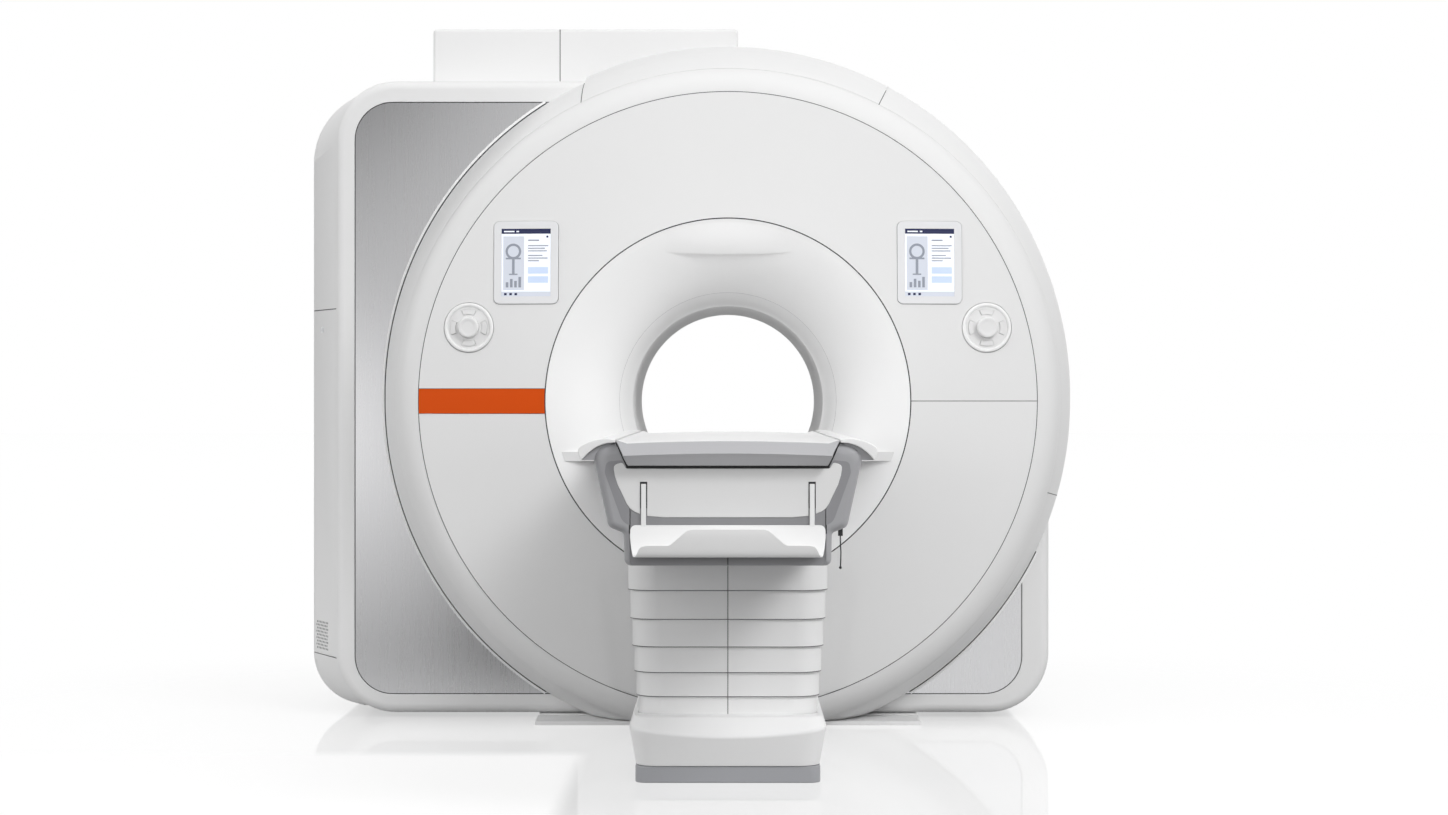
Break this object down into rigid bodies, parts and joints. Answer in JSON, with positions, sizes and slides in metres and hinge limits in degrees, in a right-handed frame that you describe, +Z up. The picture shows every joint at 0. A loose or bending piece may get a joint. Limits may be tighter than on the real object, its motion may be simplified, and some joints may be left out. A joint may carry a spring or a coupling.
{
  "type": "mri scanner",
  "caption": "Whole-body magnetic resonance scanner: a round-faced gantry with a flared patient bore, a boxed housing beside it, and a raisable patient table on a folding column cover.",
  "frame": {"origin": "on the floor, straight below the middle of the patient bore", "axes": "+X to the right as one faces the bore, +Y along the bore from the table towards the back, +Z up"},
  "size_m": [2.429, 3.7, 2.234],
  "materials": {
    "cover_white": "satin",
    "funnel_white": "satin",
    "liner_white": "satin",
    "band_orange": "satin",
    "panel_metal": "brushed upright",
    "side_white": "satin",
    "display_silver": "satin",
    "control_white": "gloss",
    "knob_grey": "satin",
    "button_white": "satin",
    "vessel_steel": "welded sheet",
    "coil_resin": "cast resin",
    "feet_paint": "satin",
    "pipe_steel": "satin",
    "table_grey": "satin",
    "panel_white": "gloss",
    "rail_white": "gloss",
    "top_white": "satin",
    "chassis_paint": "satin",
    "column_aluminium": "anodised",
    "slat_white": "satin",
    "base_white": "satin",
    "plinth_grey": "satin",
    "tray_white": "satin",
    "hook_dark": "matt",
    "cord_dark": "braided"
  },
  "bodies": {
    "scanner_base": {"bore_liner": "liner_white", "front_funnel": "funnel_white", "bore_bridge": "liner_white", "front_disc_upper": "cover_white", "front_disc_lower": "cover_white", "colour_band": "band_orange", "front_roll": "cover_white", "rim_top": "cover_white", "rim_upper_right": "cover_white", "rim_lower_right": "cover_white", "rim_left": "cover_white", "front_frame": "side_white", "side_panel_left": "panel_metal", "side_panel_right": "panel_metal", "left_cover_upper": "side_white", "left_cover_lower": "side_white", "right_cover": "side_white", "roof_cover": "side_white", "turret_cover_left": "side_white", "turret_cover_right": "side_white", "rear_cover": "side_white", "rear_funnel": "funnel_white", "rear_disc": "cover_white", "vacuum_vessel": "vessel_steel", "gradient_coil": "coil_resin", "cover_ring": "column_aluminium", "magnet_feet": "feet_paint", "quench_outlet": "pipe_steel", "display_left": "display_silver", "display_right": "display_silver", "control_housing_left": "control_white", "control_housing_right": "control_white", "lift_base": "column_aluminium", "table_base_cover": "base_white", "table_plinth": "plinth_grey", "slat_6": "slat_white"},
    "table_lift": {"slat_1": "slat_white", "table_chassis": "chassis_paint", "table_body": "table_grey", "end_panel": "panel_white", "side_rails": "rail_white", "accessory_tray": "tray_white", "cord_hook": "hook_dark", "release_cord": "cord_dark"},
    "table_top": {"table_top": "top_white"},
    "lift_stage": {"lift_stage": "column_aluminium"},
    "slat_2": {"slat_2": "slat_white"},
    "slat_3": {"slat_3": "slat_white"},
    "slat_4": {"slat_4": "slat_white"},
    "slat_5": {"slat_5": "slat_white"},
    "knob_left": {"knob_left": "knob_grey"},
    "button_upper_left": {"button_upper_left": "button_white"},
    "button_outer_left": {"button_outer_left": "button_white"},
    "button_lower_left": {"button_lower_left": "button_white"},
    "button_inner_left": {"button_inner_left": "button_white"},
    "knob_right": {"knob_right": "knob_grey"},
    "button_upper_right": {"button_upper_right": "button_white"},
    "button_outer_right": {"button_outer_right": "button_white"},
    "button_lower_right": {"button_lower_right": "button_white"},
    "button_inner_right": {"button_inner_right": "button_white"}
  },
  "joints": [
    {"name": "table_lift", "type": "slide", "parent": "scanner_base", "child": "table_lift", "axis": [0, 0, 1], "range_m": [-0.315, 0]},
    {"name": "table_slide", "type": "slide", "parent": "table_lift", "child": "table_top", "axis": [0, 1, 0], "range_m": [0, 1.8]},
    {"name": "lift_stage", "type": "slide", "parent": "scanner_base", "child": "lift_stage", "axis": [0, 0, 1], "range_m": [-0.158, 0.0002]},
    {"name": "slat_2", "type": "slide", "parent": "scanner_base", "child": "slat_2", "axis": [0, 0, 1], "range_m": [-0.2409, 0.0002]},
    {"name": "slat_3", "type": "slide", "parent": "scanner_base", "child": "slat_3", "axis": [0, 0, 1], "range_m": [-0.1693, 0.0002]},
    {"name": "slat_4", "type": "slide", "parent": "scanner_base", "child": "slat_4", "axis": [0, 0, 1], "range_m": [-0.1026, 0.0002]},
    {"name": "slat_5", "type": "slide", "parent": "scanner_base", "child": "slat_5", "axis": [0, 0, 1], "range_m": [-0.0398, 0.0002]},
    {"name": "knob_left", "type": "hinge", "parent": "scanner_base", "child": "knob_left", "pos_m": [-0.79, -0.77958, 1.224], "axis": [-0.0742, -0.997, 0.021], "continuous": true},
    {"name": "button_upper_left", "type": "slide", "parent": "scanner_base", "child": "button_upper_left", "axis": [0.0742, 0.997, -0.021], "range_m": [0, 0.0015], "stiffness_N_per_m": 900, "springref_m": -0.001},
    {"name": "button_outer_left", "type": "slide", "parent": "scanner_base", "child": "button_outer_left", "axis": [0.0742, 0.997, -0.021], "range_m": [0, 0.0015], "stiffness_N_per_m": 900, "springref_m": -0.001},
    {"name": "button_lower_left", "type": "slide", "parent": "scanner_base", "child": "button_lower_left", "axis": [0.0742, 0.997, -0.021], "range_m": [0, 0.0015], "stiffness_N_per_m": 900, "springref_m": -0.001},
    {"name": "button_inner_left", "type": "slide", "parent": "scanner_base", "child": "button_inner_left", "axis": [0.0742, 0.997, -0.021], "range_m": [0, 0.0015], "stiffness_N_per_m": 900, "springref_m": -0.001},
    {"name": "knob_right", "type": "hinge", "parent": "scanner_base", "child": "knob_right", "pos_m": [0.79, -0.77958, 1.224], "axis": [0.0742, -0.997, 0.021], "continuous": true},
    {"name": "button_upper_right", "type": "slide", "parent": "scanner_base", "child": "button_upper_right", "axis": [-0.0742, 0.997, -0.021], "range_m": [0, 0.0015], "stiffness_N_per_m": 900, "springref_m": -0.001},
    {"name": "button_outer_right", "type": "slide", "parent": "scanner_base", "child": "button_outer_right", "axis": [-0.0742, 0.997, -0.021], "range_m": [0, 0.0015], "stiffness_N_per_m": 900, "springref_m": -0.001},
    {"name": "button_lower_right", "type": "slide", "parent": "scanner_base", "child": "button_lower_right", "axis": [-0.0742, 0.997, -0.021], "range_m": [0, 0.0015], "stiffness_N_per_m": 900, "springref_m": -0.001},
    {"name": "button_inner_right", "type": "slide", "parent": "scanner_base", "child": "button_inner_right", "axis": [-0.0742, 0.997, -0.021], "range_m": [0, 0.0015], "stiffness_N_per_m": 900, "springref_m": -0.001}
  ],
  "couplings": [
    {"joint": "lift_stage", "follows": "table_lift", "ratio": 0.5},
    {"joint": "slat_2", "follows": "table_lift", "ratio": 0.76324},
    {"joint": "slat_3", "follows": "table_lift", "ratio": 0.53583},
    {"joint": "slat_4", "follows": "table_lift", "ratio": 0.32399},
    {"joint": "slat_5", "follows": "table_lift", "ratio": 0.12461}
  ]
}
